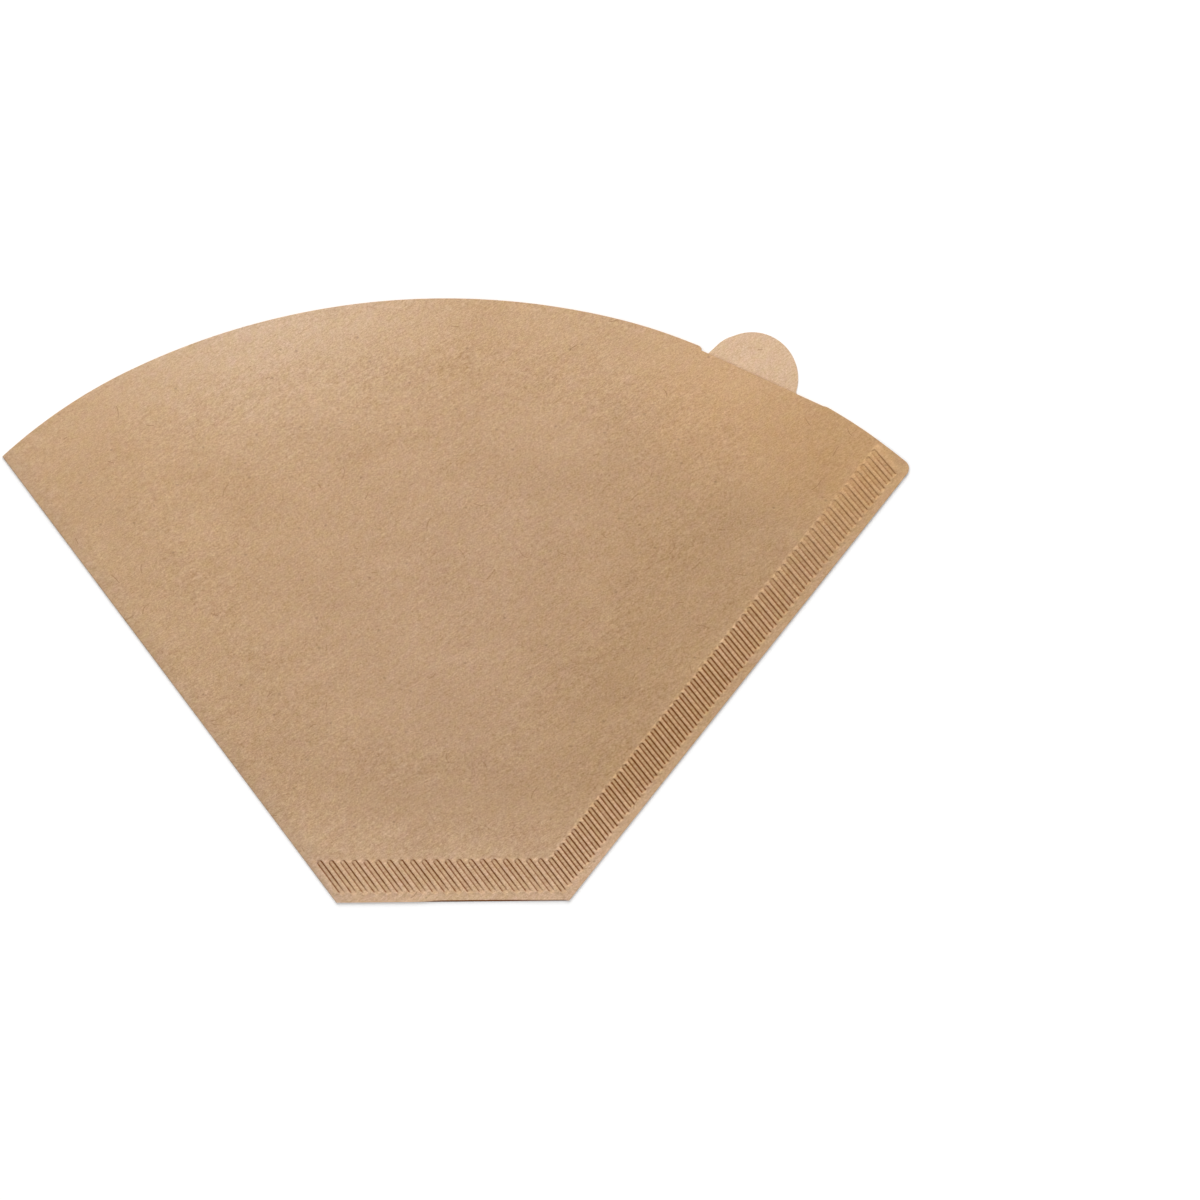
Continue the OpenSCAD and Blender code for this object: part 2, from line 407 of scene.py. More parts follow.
@dataclass(frozen=True)
class Crimp:
    """The pressed bars of the seam: where they stand, how they lean and how long they are.

    A bar's number may have a fraction, for places between two bars.
    """

    outline: Outline
    margin: float = 1.7
    band: float = 7.7
    bottom_pitch: float = 2.605
    side_pitch: float = 2.045
    first_bar: float = 2.35
    last_bar_clear: float = 1.8
    bar_lean: float = 36.0
    bar_fan: float = 4.5
    bar_width: float = 1.06
    end_clear: float = 0.08
    tiny: float = 1e-6

    @property
    def width(self) -> float:
        """Width of the whole seam."""
        return self.margin + self.band

    @cached_property
    def strip_corner(self) -> Array:
        """Corner between the plain strips of the two seams."""
        lean = math.radians(self.outline.side_lean)
        in_from_edge = self.margin * (1 - math.sin(lean)) / math.cos(lean)
        return np.array([self.outline.bottom_edge - in_from_edge, self.margin])

    @cached_property
    def first_foot(self) -> float:
        """Distance of the first bar's foot from the foot of the fold, along the bottom."""
        lean = math.radians(self.outline.fold_lean)
        return self.first_bar / math.cos(lean) - self.margin * math.tan(lean)

    @cached_property
    def corner_bar(self) -> float:
        """Number of the bar at the strip's corner."""
        return (self.strip_corner[0] - self.first_foot) / self.bottom_pitch

    @cached_property
    def count(self) -> int:
        """How many bars there are."""
        total = math.floor(self.corner_bar) + 1
        reach = self.outline.mouth_radius - self.last_bar_clear
        while size(self.end(np.array(float(total))) - self.outline.mouth_middle) < reach:
            total += 1
        return total

    def foot(self, number: Array) -> Array:
        """Feet of the bars on the inner side of the plain strip.

        Args:
            number: Numbers of the bars.

        Returns:
            The points.
        """
        right = np.minimum(number, self.corner_bar) * self.bottom_pitch
        up = np.maximum(number - self.corner_bar, 0.0) * self.side_pitch
        start = np.stack([self.first_foot + right, self.margin + 0 * right], axis=-1)
        return start + up[..., None] * self.outline.side.up

    def lean(self, number: Array) -> Array:
        """Lean of the bars to the left of the upright.

        Args:
            number: Numbers of the bars.

        Returns:
            The angles, in degrees.
        """
        bottom = self.strip_corner[0] - self.first_foot
        up_side = bottom + (number - self.corner_bar) * self.side_pitch
        path = np.where(number < self.corner_bar, number * self.bottom_pitch, up_side)
        return self.bar_lean + self.bar_fan * path / (bottom + self.outline.side_edge)

    def way(self, number: Array) -> Array:
        """Directions of the bars from foot to inner end."""
        return heading(-self.lean(number))

    def _to_depth(self, number: Array, depth: float) -> tuple[Array, Array]:
        """Distances from the bars' feet to two lines, inside the bottom edge and the side edge.

        Args:
            number: Numbers of the bars.
            depth: How far inside its edge each line lies.

        Returns:
            The distances to the one line and to the other.
        """
        foot, lean = self.foot(number), np.radians(self.lean(number))
        across = np.sin(lean + math.radians(self.outline.side_lean))
        return (depth - foot[..., 1]) / np.cos(lean), (depth - self.outline.side.depth(foot)) / across

    def length(self, number: Array) -> Array:
        """Length of the bars from foot to inner end."""
        return np.maximum(*self._to_depth(number, self.width))

    def strip(self, number: Array) -> Array:
        """Distance along each bar's line from its foot back to the cut edge."""
        return -np.maximum(*self._to_depth(number, 0.0))

    def end(self, number: Array) -> Array:
        """Inner ends of the bars."""
        return self.foot(number) + self.length(number)[..., None] * self.way(number)

    def slots(self, points: Array) -> Slots:
        """Where points lie from the nearest bar.

        Args:
            points: Points in the plane of the filter.

        Returns:
            What is known of each point and the bar nearest to it.
        """
        numbers = np.arange(self.count, dtype=float)
        half = self.bar_width / 2
        length = self.length(numbers) - self.end_clear - half
        bars = zip(self.way(numbers), self.foot(numbers), length, strict=True)
        found = Slots(np.full(len(points), np.inf), *(np.zeros(len(points)) for _ in range(4)))
        for bar, (way, foot, run) in enumerate(bars):
            up = dot(points - foot, way)
            off = points - foot - np.clip(up, 0.0, run)[:, None] * way
            reach = size(off)
            nearer = reach - half < found.distance
            out = off[nearer] / np.maximum(reach[nearer], self.tiny)[:, None]
            found.distance[nearer] = reach[nearer] - half
            found.right[nearer] = dot(out, np.array([way[1], -way[0]]))
            found.ahead[nearer] = dot(out, way)
            found.up[nearer] = up[nearer]
            found.bar[nearer] = bar
        return found

    def inside_band(self, points: Array) -> tuple[Array, Array]:
        """Distances of points into the crimped band from its outer and from its inner long side."""
        low = np.minimum(points[:, 1], self.outline.side.depth(points))
        return low - self.margin, self.width - low


@dataclass(frozen=True)
class Marks:
    """What the press and the fold have left at some points, with painted light and shade and a lighter tone
    near the mouth.

    The slot is the distance from the nearest bar, and the others are one share for each mark. The
    lit and gleam shares are painted highlights, the shaded crease's share is also painted shade, the
    fold share is painted shade near the fold, and the mouth share is a lighter tone near the mouth.
    """

    slot: Array
    land: Array
    finger: Array
    shaded_crease: Array
    lit: Array
    gleam: Array
    strip: Array
    fold: Array
    mouth: Array


@dataclass(frozen=True)
class Press:
    """How the press and the fold mark the paper, and where light and shade are painted on it, by where
    a point lies from the bars and the edges.

    Lands are the raised strips between bars and fingers are the floors of the bars. A crease runs
    down both sides of a bar, and it closes at the bar's inner end, starts late at its foot and
    fades towards the mouth. The crease's share also paints shade into it, stronger on the bar's
    right side. Painted highlights stand for the light that catches the tips at the band's inner side
    and the rims at the bars' feet, painted light makes the lands lighter, and painted shade darkens
    the paper near the fold.
    """

    outline: Outline
    crimp: Crimp
    wall: float = 0.1
    corner: Pair = (-2.0, 4.0)
    fading: Ramp = Ramp(46.0, 74.0)
    on_right: Ramp = Ramp(-0.4, 0.4)
    beside: Ramp = Ramp(1.6, 1.1)
    land_outer: Ramp = Ramp(-0.4, 0.6)
    land_inner: Ramp = Ramp(-0.3, 0.4)
    finger_start: Ramp = Ramp(0.1, 0.5)
    tip_rise: Ramp = Ramp(-0.3, 0.1)
    tip_fall: Ramp = Ramp(1.0, 0.3)
    tip_clear: Ramp = Ramp(0.0, 0.35)
    tip_fade: float = 0.7
    rim_rise: Ramp = Ramp(-0.45, 0.05)
    rim_fall: Ramp = Ramp(0.75, 0.2)
    rim_clear: Ramp = Ramp(0.15, -0.25)
    rim_gleam: float = 0.7
    bottom_lit: float = 0.58
    lit_fade: float = 0.8
    strip_edge: Ramp = Ramp(0.2, -0.4)
    fold_reach: Ramp = Ramp(6.0, 0.3)
    mouth_reach: Ramp = Ramp(13.0, 0.0)
    beats: tuple[Pair, ...] = ((2.4, 0.0), (5.1, 1.0))
    uneven: float = 0.06
    left_strength: float = 0.92
    left_gain: float = 0.1
    left_fade: float = 0.44
    right_strength: float = 1.05
    right_uneven: float = 0.35
    right_fade: float = 0.5
    closing: Ramp = Ramp(0.3, 0.95)
    left_closing: float = 0.3
    closed_bottom: float = 0.58
    closed_side: float = 0.32
    worn_end: Ramp = Ramp(2.8, 0.9)
    worn: float = 0.6
    late_left: float = 0.75
    late_side: float = 0.65
    late_right: float = 0.1
    start_run: float = 0.4
    start_right: float = 1.2
    crease_inset: float = 0.05
    crease_widths: Point = (0.14, 0.03, 0.025)

    def marks(self, points: Array) -> Marks:
        """Finds what the press and the fold have left.

        Args:
            points: Points in the plane of the filter.

        Returns:
            The marks at each point.
        """
        near = self.crimp.slots(points)
        slot, up = near.distance, near.up
        outer, inner = self.crimp.inside_band(points)
        side = Ramp(*(self.crimp.corner_bar + step for step in self.corner))(near.bar)
        fading, beside = self.fading(near.bar), self.beside(slot)
        land = self.land_outer(outer) * self.land_inner(inner) * beside
        finger = Ramp(self.wall, -self.wall)(slot) * self.finger_start(up)
        tip = self.tip_rise(inner) * self.tip_fall(inner) * self.tip_clear(slot)
        rim = self.rim_rise(up) * self.rim_fall(up) * self.rim_clear(slot)
        # Painted highlights where light would catch the tips at the band's inner side and the rims at the
        # bars' feet.
        gleam = (tip * side * (1 - self.tip_fade * fading) + self.rim_gleam * rim) * beside
        # Painted light: the raised lands are lighter, more on the side seam and less towards the mouth.
        side_lit = (1 - self.bottom_lit) * side * (1 - self.lit_fade * fading)
        lit = land * (1 - finger) * (self.bottom_lit + side_lit)
        strip = self.strip_edge(outer)
        # Painted shade near the fold.
        fold = self.fold_reach(self.outline.fold.depth(points))
        mouth = self.mouth_reach(self.outline.from_mouth(points))
        shaded_crease = self._crease(near, inner, side, fading)
        return Marks(slot, land, finger, shaded_crease, lit, gleam, strip, fold, mouth)

    def _crease(self, near: Slots, inner: Array, side: Array, fading: Array) -> Array:
        """Share of the creases down both sides of the bars, which is also their painted shade.

        Args:
            near: How the points lie to their nearest bar.
            inner: Distance of the points into the band from its inner side.
            side: Share to which the bar belongs to the side seam.
            fading: Share to which the press is weaker near the mouth.

        Returns:
            The share at each point.
        """
        right = self.on_right(near.right)
        uneven = self.uneven * sum(np.sin(pace * near.bar + start) for pace, start in self.beats)
        at_left = (self.left_strength + self.left_gain * side + uneven) * (1 - self.left_fade * fading)
        at_right = (self.right_strength - self.right_uneven * side * uneven) * (1 - self.right_fade * fading)
        # The painted shade is stronger on the bar's right side, which faces away from the light.
        strength = at_left * (1 - right) + at_right * right
        closed = self.closing(near.ahead + self.left_closing * (1 - right) * side)
        strength *= 1 - (self.closed_bottom + self.closed_side * side) * closed
        strength *= 1 - self.worn * fading * self.worn_end(inner)
        late = (self.late_left - self.late_side * side) * (1 - right) + self.late_right * right
        strength *= Ramp(late, late + self.start_run + self.start_right * (1 - side) * right)(near.up)
        plain, more_side, more_right = self.crease_widths
        width = plain + more_side * side + more_right * right
        return strength * np.exp(-(((near.distance + self.crease_inset) / width) ** 2))


@dataclass(frozen=True)
class Heights:
    """Heights of the surfaces of the two leaves, with the soft shapes of the pressed seam."""

    outline: Outline
    crimp: Crimp
    press: Press
    paper: float = 0.18
    leaf_gap: float = 1.6
    fold_rise: float = 25.6
    seam_rise: float = 32.0
    seam_fall: float = 4.0
    seam_round: float = 3.0
    bar_depth: float = 0.3
    bar_wall: float = 0.2
    mouth_low: float = 0.08
    mouth_fall: float = 30.0
    swell: float = 0.14
    waves: tuple[Point, ...] = ((9.0, 17.0, 0.0), (-15.0, 8.0, 1.3), (6.5, 6.5, 0.6))
    lip_width: float = 0.28
    lip_start: Ramp = Ramp(17.0, 24.0)
    lip_end: Ramp = Ramp(51.9, 51.0)
    lip_narrowing: Ramp = Ramp(38.0, 46.0)
    lip_narrow: float = 0.3
    land_crown: float = 0.03
    crown_rise: Ramp = Ramp(0.1, 0.5)
    finger_depth: float = 0.2
    crease_depth: float = 0.12
    near: float = 0.01

    @property
    def seam_low(self) -> float:
        """Height of the underside of the seam's plain strip."""
        return self.bar_depth / 2

    def from_seam(self, points: Array) -> Array:
        """Distance of points inside the seam, rounded where the two seams meet.

        Args:
            points: Points in the plane of the filter.

        Returns:
            The distances.
        """
        low, side = points[:, 1], self.outline.side.depth(points)
        share = np.clip(0.5 + (side - low) / (2 * self.seam_round), 0.0, 1.0)
        return side * (1 - share) + low * share - self.seam_round * share * (1 - share) - self.crimp.width

    def nose(self, points: Array, inset: float) -> Array:
        """How far the round of the fold stands off its middle height.

        Args:
            points: Points in the plane of the filter.
            inset: How far the surface lies inside the outside.

        Returns:
            The distances.
        """
        radius = self.outline.fold_radius - inset
        depth = np.clip(self.outline.fold_radius - self.outline.fold.depth(points), 0.0, radius)
        return np.sqrt(np.maximum(radius * radius - depth * depth, 0.0))

    def billow(self, points: Array) -> Array:
        """Share of its full height that the front leaf reaches.

        Args:
            points: Points in the plane of the filter.

        Returns:
            The shares, which are low at the seams, the fold and the mouth.
        """
        from_fold = Ramp(self.outline.fold_radius, self.fold_rise)(self.outline.fold.depth(points))
        from_seam = Ramp(0.0, self.seam_rise)(self.from_seam(points))
        mouth = np.sin(math.pi / 2 * np.clip(self.outline.from_mouth(points) / self.mouth_fall, 0.0, 1.0))
        x, y = points[:, 0], points[:, 1]
        waves = sum(np.sin(x / across + y / up + start) for across, up, start in self.waves)
        swell = 1 - self.swell * (0.5 + waves / (2 * len(self.waves)))
        return from_fold * from_seam * (self.mouth_low + (1 - self.mouth_low) * mouth) * swell

    def front(self, points: Array, inset: float = 0.0) -> Array:
        """Height of the front leaf, its outside or, with the paper as inset, its inside.

        Args:
            points: Points in the plane of the filter.
            inset: How far the surface lies inside the outside.

        Returns:
            The heights.
        """
        pressed = self.seam_low + 2 * self.paper
        full = self.leaf_gap + 2 * self.paper
        low = np.minimum(self.outline.fold_radius + self.nose(points, inset), pressed - inset)
        return low + (full - pressed) * self.billow(points)

    def back(self, points: Array, inset: float = 0.0) -> Array:
        """Height of the back leaf, its outside or, with the paper as inset, its inside.

        Args:
            points: Points in the plane of the filter.
            inset: How far the surface lies inside the outside.

        Returns:
            The heights.
        """
        round_low = self.outline.fold_radius - self.nose(points, inset)
        fall = np.sin(math.pi / 2 * np.clip(self.from_seam(points) / self.seam_fall, 0.0, 1.0))
        return np.maximum(round_low, inset + self.seam_low * (1 - fall))

    def lip(self, points: Array) -> Array:
        """How far the front leaf's cut edge stands back from the back leaf's, along the bottom.

        Args:
            points: Points in the plane of the filter.

        Returns:
            The distances.
        """
        right = points[:, 0]
        share = self.lip_start(right) * self.lip_end(right)
        narrowing = 1 - self.lip_narrow * self.lip_narrowing(right)
        return self.lip_width * share * narrowing * (np.abs(points[:, 1]) < self.near)

    def top(self, points: Array) -> Array:
        """Height of the outside of the front leaf with the crimped band.

        Args:
            points: Points in the plane of the filter.

        Returns:
            The heights.
        """
        base, marks = self.front(points), self.press.marks(points)
        crown = self.land_crown * (self.crown_rise(marks.slot) - 1)
        raised = base + marks.land * (self.bar_depth / 2 + crown)
        floor = np.minimum(base + self.bar_depth / 2 - self.finger_depth, raised)
        return raised * (1 - marks.finger) + floor * marks.finger - self.crease_depth * marks.shaded_crease

    def bottom(self, points: Array) -> Array:
        """Height of the outside of the back leaf with the ridges of the crimped band.

        Args:
            points: Points in the plane of the filter.

        Returns:
            The heights.
        """
        marks, wall = self.press.marks(points), self.press.wall
        ridge = Ramp(self.bar_wall + wall, self.bar_wall - wall)(marks.slot)
        return (self.back(points) + marks.land * self.bar_depth / 2) * (1 - ridge)


@dataclass
class Lattice:
    """Rows and columns of points that cover one leaf, from the cut edge to the mouth.

    Columns run along the bars and on to the mouth. They lie close in the band, and over the plain
    leaf only where they lead to the cut and the tab.
    """

    outline: Outline
    crimp: Crimp
    rows_inside: int = 40
    pitch: float = 2.04
    first_number: float = -0.5
    across: tuple[float, ...] = (
        -0.76, -0.64, -0.56, -0.48, -0.4, -0.3, -0.1, 0.1, 0.3, 0.4, 0.48, 0.56, 0.64, 0.76, 1.02,
    )
    coarse: tuple[float, ...] = (-0.1, 1.02)
    close_margins: Pair = (1.5, 0.5)
    search_reach: float = 4.0
    cut_tries: int = 16001
    band_tries: int = 8001
    straight_from: float = 4.0
    lip_row: float = 0.08
    strip_shares: Pair = (0.35, 0.7)
    before_bar: Pair = (0.3, 0.14)
    near_end: tuple[float, ...] = (0.0, 0.16, 0.3, 0.44, 0.6, 0.8, 1.15)
    middle_shares: Point = (0.36, 0.5, 0.64)
    beyond_bar: Point = (0.14, 0.3, 0.8)
    back_step: int = 2
    inner_step: int = 4
    fold_turns: tuple[float, ...] = (0.0, 22.0, 45.0, 68.0, 90.0)
    fold_clear: float = 0.5
    end_shares: tuple[float, ...] = (0.2, 0.4, 0.6, 0.8, 0.92, 1.0)
    points: Array = field(init=False)
    band_rows: int = field(init=False)

    def __post_init__(self) -> None:
        """Lays out the points as an array of rows by columns."""
        numbers, kept = self._numbers()
        foot, way = self.crimp.foot(numbers), self.crimp.way(numbers)
        strip, length = self.crimp.strip(numbers), self.crimp.length(numbers)
        seam = foot - strip[:, None] * way + self._seam_rows(strip, length)[..., None] * way
        mouth, finish = self._mouth_points(numbers, kept, seam[-1], way)
        ids = np.flatnonzero(kept)
        nearest = ids[np.argmin(np.abs(np.arange(len(kept))[:, None] - ids), axis=1)]
        inside = self._inside(seam[-1], way, mouth, finish)[:, nearest]
        body = np.concatenate([seam, inside[1:]])
        self.band_rows = len(seam)
        self.points = np.concatenate([self._fold_columns(body), body, self._end_columns(body)], axis=1)

    def _numbers(self) -> tuple[Array, Array]:
        """Chooses the columns.

        Returns:
            Bar numbers of the columns with their fractions, and which of them go on over the leaf.
        """
        left, right = (compass(point - self.outline.mouth_middle) for point in self.outline.cut_ends)
        bars = np.arange(self.crimp.count, dtype=float)
        angles = self._angles(bars, self.crimp.end(bars), self.crimp.way(bars))
        close = (angles > left - self.close_margins[0]) & (angles < right + self.close_margins[1])
        kept = np.append(True, close[:, None] | np.isin(self.across, self.coarse))
        numbers = np.append(self.first_number, bars[:, None] + np.array(self.across) / self.pitch)
        side, bottom = self.outline.side, self.outline.bottom_edge
        cut_corner = self._number_where(
            self.cut_tries, lambda foot, end, lean: foot[:, 0] + foot[:, 1] * np.tan(lean) - bottom
        )
        band_corner = self._number_where(self.band_tries, lambda foot, end, lean: end[:, 1] - side.depth(end))
        for special in (self.crimp.corner_bar, cut_corner, band_corner):
            numbers[np.argmin(np.abs(numbers - special))] = special
        return numbers, kept

    def _number_where(self, tries: int, miss: Callable[[Array, Array, Array], Array]) -> float:
        """Finds the column near the corner that passes a certain place.

        Args:
            tries: How many numbers are tried.
            miss: How far a bar's line with its foot, inner end and lean in radians misses the place.

        Returns:
            The bar number.
        """
        crimp, reach = self.crimp, self.search_reach
        numbers = np.linspace(crimp.corner_bar - reach, crimp.corner_bar + reach, tries)
        gaps = miss(crimp.foot(numbers), crimp.end(numbers), np.radians(crimp.lean(numbers)))
        return float(numbers[np.argmin(np.abs(gaps))])

    def _straight(self, numbers: Array) -> Array:
        """Share to which columns turn from the bars' direction to the way straight to the mouth."""
        return Ramp(self.crimp.corner_bar + self.straight_from, self.crimp.count - 1.0)(numbers)

    def _angles(self, numbers: Array, ends: Array, way: Array) -> Array:
        """Compass angles about the mouth's middle at which columns meet the mouth.

        Args:
            numbers: Bar numbers of the columns.
            ends: Where the columns leave the seam.
            way: The columns' directions there.

        Returns:
            The angles, which never fall from one column to the next.
        """
        middle = self.outline.mouth_middle
        run = leave_circle(ends, way, middle, self.outline.mouth_radius)
        hit, straight = compass(ends + run[:, None] * way - middle), compass(ends - middle)
        share = self._straight(numbers)
        return np.maximum.accumulate(hit * (1 - share) + straight * share)

    def _seam_rows(self, strip: Array, length: Array) -> Array:
        """Distances of the seam's rows from the cut edge.

        Args:
            strip: Width of the plain strip along each column.
            length: Length of the bars along each column.

        Returns:
            The distances, as rows by columns.
        """
        rows = [0 * strip, self.lip_row + 0 * strip, *(strip * share for share in self.strip_shares)]
        rows += [strip - step for step in self.before_bar] + [strip + step for step in self.near_end]
        rows += [strip + length * share for share in self.middle_shares]
        rows += [strip + length - step for step in reversed(self.near_end)]
        return np.array(rows + [strip + length + step for step in self.beyond_bar])

    def _mouth_points(self, numbers: Array, kept: Array, ends: Array, way: Array) -> tuple[Array, Array]:
        """Where each column meets the mouth, and the direction in which it gets there.

        Args:
            numbers: Bar numbers of the columns.
            kept: Which columns go on over the leaf.
            ends: Where the columns leave the seam.
            way: The columns' directions there.

        Returns:
            The points on the mouth and the unit directions.
        """
        mouth, middle = self.outline.mouth, self.outline.mouth_middle
        rising = np.maximum.accumulate(compass(mouth - middle))
        places = np.interp(self._angles(numbers, ends, way), rising, runs(mouth))
        points = along(mouth, self._snapped(places, kept))
        share = self._straight(numbers)[:, None]
        return points, unit(way * (1 - share) + unit(points - middle) * share)

    def _snapped(self, places: Array, kept: Array) -> Array:
        """Moves the kept columns nearest to the mouth's landmarks onto them.

        Args:
            places: Distances along the mouth at which the columns meet it.
            kept: Which columns go on over the leaf.

        Returns:
            The new distances, which never fall.
        """
        mouth, places, free = self.outline.mouth, places.copy(), np.flatnonzero(kept)
        for target in self.outline.landmarks:
            spot = runs(mouth)[np.argmin(size(mouth - target))]
            column = free[np.argmin(np.abs(places[free] - spot))]
            places[column] = spot
            free = free[free != column]
        return np.maximum.accumulate(places)

    def _inside(self, ends: Array, way: Array, mouth: Array, finish: Array) -> Array:
        """Rows over the plain leaf.

        Args:
            ends: Where the columns leave the seam.
            way: The columns' directions there.
            mouth: Where they meet the mouth.
            finish: Their directions there.

        Returns:
            The points, as rows by columns, from the seam to the mouth.
        """
        reach = size(mouth - ends)[:, None]
        share = np.linspace(0.0, 1.0, self.rows_inside + 1)[:, None, None]
        square, cube = share**2, share**3
        bent = (cube - 2 * square + share) * reach * way + (cube - square) * reach * finish
        return (2 * cube - 3 * square + 1) * ends + (3 * square - 2 * cube) * mouth + bent

    def _fold_columns(self, body: Array) -> Array:
        """Columns between the fold's line and the first column of the band.

        Args:
            body: The points of the other columns.

        Returns:
            The points, as rows by columns.
        """
        first, fold, end = body[:, 0], self.outline.fold, self.outline.turn_end
        height = np.minimum(first[:, 1], end[1])
        height[[0, -1]] = 0.0, end[1]
        line = (height / fold.up[1])[:, None] * fold.up
        gap = dot(first - line, fold.inward)
        depths = [*(self.outline.fold_radius * (1 - np.cos(np.radians(self.fold_turns)))), self.fold_clear]
        columns = [line + np.minimum(depth / gap, 1.0)[:, None] * (first - line) for depth in depths]
        return np.stack(columns, axis=1)

    def _end_columns(self, body: Array) -> Array:
        """Columns between the last bar and the mouth, which run along the mouth near the corner.

        Args:
            body: The points of the other columns.

        Returns:
            The points, as rows by columns.
        """
        last, mouth = body[:, -1], self.outline.mouth
        edge = mouth[np.argmin(size(mouth - last[-1])) :][::-1]
        share = np.clip(runs(last) / runs(last)[self.band_rows - 1], 0.0, 1.0)
        target = along(edge, share * runs(edge)[-1])
        return np.stack([last * (1 - part) + target * part for part in self.end_shares], axis=1)


@dataclass(frozen=True)
class Grain:
    """One layer of the paper's grain: its strength, its run, and its cells in a millimetre."""

    strength: float
    angle: float
    cells: Pair
    detail: float = 3.0


@dataclass(frozen=True)
class Tint:
    """A change of hue in spots: their grain, and what the colour is multiplied by at both ends."""

    spots: Grain
    low: Colour
    high: Colour


@dataclass(frozen=True)
class Away:
    """A share that rises from 0 to 1 between two distances, in metres, from a point of the sheet."""

    point: Point
    start: float
    end: float


@dataclass(frozen=True)
class Flecks:
    """Sparse short bits of bark in the pulp, with their cells in a metre."""

    colour: Colour = (0.20, 0.12, 0.07)
    turn: float = 0.5
    cells: Point = (130.0, 190.0, 1.0)
    fade: Pair = (0.06, 0.02)
    strength: float = 0.45
    patches: float = 0.9
    patch_detail: float = 1.0
    rarity: float = 0.56


@dataclass(frozen=True)
class Fibres:
    """Sparse thin hairs in the pulp, each bent and turned its own way, with their cells in a metre."""

    colour: Colour = (0.26, 0.135, 0.06)
    cells: Point = (110.0, 110.0, 0.0)
    bend: float = 5.0
    fade: Pair = (0.014, 0.005)
    strength: float = 0.6
    shortest: float = 0.03
    longer: float = 0.13
    shuffle: float = 17.0
    rarity: float = 0.62


@dataclass(frozen=True)
class PaperFinish:
    """Unbleached paper: its colours and the layers of its texture.

    The sways are soft changes of the sheet's colour over the whole filter; the one that darkens the
    right side along the seam is partly painted shade. The tones are what that colour is multiplied by
    at some marks: lit and gleam are painted highlights, fold is painted shade near the fold, and
    finger, strip and mouth are lighter tones. The shaded crease colour is painted shade in the
    creases and a painted shadow on the back leaf's edge under the lip.
    colour is multiplied by at the marks of the press and the fold.
    """

    slot: str = "kraft_paper"
    middle: Colour = (0.468, 0.3015, 0.1815)
    sways: tuple[tuple[Colour, Away], ...] = (
        ((0.495, 0.319, 0.183), Away((0.015, -0.010, 0.0), 0.025, 0.075)),
        ((0.548, 0.378, 0.245), Away((-0.045, 0.078, 0.0), 0.052, 0.016)),
        # Darker towards the right along the side seam, partly painted shade.
        ((0.446, 0.281, 0.155), Away((0.150, -0.050, 0.0), 0.150, 0.120)),
        ((0.523, 0.324, 0.174), Away((0.070, 0.050, 0.0), 0.034, 0.010)),
        ((0.482, 0.290, 0.144), Away((0.088, 0.034, 0.0), 0.026, 0.006)),
        ((0.535, 0.355, 0.222), Away((0.0, 0.150, 0.0), 0.194, 0.214)),
    )
    inner: Colour = (0.62, 0.43, 0.282)
    # Painted shade in the creases, and a painted shadow on the back leaf's edge under the lip.
    shaded_crease: Colour = (0.185, 0.054, 0.008)
    crease_grain: float = 0.5
    # lit and gleam are painted highlights, fold is painted shade near the fold.
    tones: tuple[tuple[str, Colour], ...] = (
        ("lit", (1.24, 1.24, 1.24)),
        ("finger", (1.07, 1.06, 1.02)),
        ("gleam", (1.13, 1.14, 1.14)),
        ("strip", (1.09, 1.10, 1.13)),
        ("fold", (0.93, 0.945, 0.98)),
        ("mouth", (1.02, 1.035, 1.055)),
    )
    roughness: float = 0.9
    specular: float = 0.15
    relief: float = 0.03
    rough_noise: float = 0.6
    distortion: float = 0.3
    grains: tuple[Grain, ...] = (
        Grain(1.1, 30.0, (2.7, 4.9), 2.0),
        Grain(0.7, 30.0, (1.3, 3.0), 2.0),
        Grain(0.38, 30.0, (0.4, 2.4)),
        Grain(0.10, 98.0, (0.6, 2.8)),
        Grain(0.16, 36.0, (0.06, 1.6)),
        Grain(0.24, 20.0, (0.06, 0.1)),
    )
    grain_hue: Colour = (0.8, 1.0, 1.25)
    calm: Away = Away((0.0, 0.0, 0.0), 0.055, 0.090)
    calm_share: float = 0.3
    tints: tuple[Tint, ...] = (
        Tint(Grain(2.2, 12.0, (0.35, 0.55)), (1.015, 0.985, 1.015), (0.985, 1.015, 0.985)),
        Tint(Grain(2.2, 71.0, (0.35, 0.55)), (1.0, 1.0, 0.93), (1.0, 1.0, 1.07)),
    )
    flecks: Flecks = Flecks()
    fibres: Fibres = Fibres()


